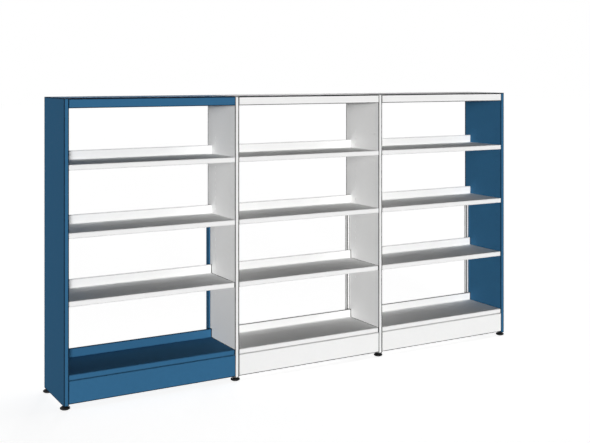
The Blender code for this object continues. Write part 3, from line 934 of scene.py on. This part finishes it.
for bay in BAYS:
    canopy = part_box(f"canopy_{bay}")
    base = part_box(f"base_shelf_{bay}")
    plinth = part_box(f"plinth_{bay}")
    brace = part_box(f"brace_{bay}")
    bolts = []
    for side, end in ((-1, 0), (1, 1)):
        plate = canopy[end][0] - side * (FLANGE_SET + FOLD_SHEET)
        spots = [(y, canopy[1][2] - CANOPY_BOLT_DROP) for y in CANOPY_BOLTS]
        spots += [(y, base[1][2] - LIP_HEIGHT - BASE_BOLT_DROP) for y in BASE_BOLTS]
        spots += [(plinth[0][1] + PLINTH_BOLT_SET, plinth[0][2] + z) for z in PLINTH_BOLTS]
        bolts += [facing_bay(hexagon_bolt(), (plate, y, z), side) for y, z in spots]
        post = brace[end][0] - side * BRACE_POST
        depth = (brace[0][1] + brace[1][1]) / 2
        bolts += [facing_bay(socket_screw(), (post, depth, z), side) for z in BRACE_SCREWS]
    piece = make_piece(f"bolts_{bay}", bolts, zinc_plate)
    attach(piece, "frame")


# Floor and light. A pale floor and a white surround, a low key light beside the camera and weaker low
# lights from either side and behind. A soft light high up at the right evens out the decks, so that fronts
# are the brightest, left-hand sides a shade darker and decks darker again.
FLOOR_HALF = 45.0
FLOOR_DROP = 0.0002
FLOOR_GREY = (0.5, 0.5, 0.5, 1)
FLOOR_GLOW = 0.872
SURROUND_WHITE = (1, 1, 1, 1)
AMBIENT = 0.038
LOW_HEIGHT = math.radians(3)
LOW_SPREAD = math.radians(6)
KEY_TURN = math.radians(18)
KEY_POWER = 2.66
SIDE_TURN = math.radians(68)
SIDE_POWER = 0.56
BACK_TURN = math.radians(-150)
BACK_POWER = 1.7
RIGHT_TURN = math.radians(-90)
RIGHT_POWER = 0.75
HIGH_TURN = math.radians(-115)
HIGH_HEIGHT = math.radians(58)
HIGH_POWER = 0.52
HIGH_SPREAD = math.radians(50)


def shown_rays(tree):
    """One for rays that show the surround: from the camera, or off or through a glossy surface."""
    path = add_node(tree, "ShaderNodeLightPath", {}).outputs
    two = add_maths(tree, "ADD", path["Is Camera Ray"], path["Is Glossy Ray"])
    return add_maths(tree, "ADD", two, path["Is Transmission Ray"], use_clamp=True)


def add_sun(name, turn, height, power, spread):
    """A lamp like a wide sun, from a heading (0 from the front, positive from the left) and a height."""
    lamp = bpy.data.lights.new(name, "SUN")
    lamp.energy = power
    lamp.angle = spread
    sun = bpy.data.objects.new(name, lamp)
    sun.rotation_euler = (math.pi / 2 - height, 0, -turn)
    bpy.context.scene.collection.objects.link(sun)


world = bpy.data.worlds.new("surround")
world.use_nodes = True
bpy.context.scene.world = world
tree = world.node_tree
strength = add_range(tree, shown_rays(tree), AMBIENT, 1.0)
wire(tree, tree.nodes["Background"], {"Color": SURROUND_WHITE, "Strength": strength})

floor_mesh = bpy.data.meshes.new("floor")
square = np.array(((-1, -1, 0), (1, -1, 0), (1, 1, 0), (-1, 1, 0)))
floor_mesh.from_pydata(square * FLOOR_HALF - (0, 0, FLOOR_DROP), [], [(0, 1, 2, 3)])
floor_paint, tree, shader = new_material("pale_floor")
tree.nodes.remove(shader)
glow_power = add_maths(tree, "MULTIPLY", shown_rays(tree), FLOOR_GLOW)
glow = add_node(tree, "ShaderNodeEmission", {"Color": SURROUND_WHITE, "Strength": glow_power})
matt = add_node(tree, "ShaderNodeBsdfDiffuse", {"Color": FLOOR_GREY})
both = add_node(tree, "ShaderNodeAddShader", {0: glow.outputs[0], 1: matt.outputs[0]})
wire(tree, tree.nodes["Material Output"], {"Surface": both.outputs[0]})
floor_mesh.materials.append(floor_paint)
floor = bpy.data.objects.new("floor", floor_mesh)
bpy.context.scene.collection.objects.link(floor)

add_sun("key", KEY_TURN, LOW_HEIGHT, KEY_POWER, LOW_SPREAD)
add_sun("side_light", SIDE_TURN, LOW_HEIGHT, SIDE_POWER, LOW_SPREAD)
add_sun("back_light", BACK_TURN, LOW_HEIGHT, BACK_POWER, LOW_SPREAD)
add_sun("right_light", RIGHT_TURN, LOW_HEIGHT, RIGHT_POWER, LOW_SPREAD)
add_sun("high_light", HIGH_TURN, HIGH_HEIGHT, HIGH_POWER, HIGH_SPREAD)


# Camera. It stands level, a little above the unit's top and to its left, and its frame is shifted down to
# take the unit in, as an architect's view is.
CAMERA_PLACE = (-2.7980, -4.8801, 1.6367)
CAMERA_TURN = math.radians(29.754)
PICTURE_WIDTH = 590
PICTURE_HEIGHT = 443
FOCAL_PIXELS = 984.2
HORIZON_PIXEL = 74.15
SENSOR_WIDTH = 36.0

lens = bpy.data.cameras.new("camera")
lens.sensor_width = SENSOR_WIDTH
lens.lens = SENSOR_WIDTH * FOCAL_PIXELS / PICTURE_WIDTH
lens.shift_y = (HORIZON_PIXEL - PICTURE_HEIGHT / 2) / PICTURE_WIDTH
camera = bpy.data.objects.new("camera", lens)
camera.location = CAMERA_PLACE
camera.rotation_euler = (math.pi / 2, 0, -CAMERA_TURN)
bpy.context.scene.collection.objects.link(camera)
bpy.context.scene.camera = camera
bpy.context.scene.view_settings.view_transform = "Standard"
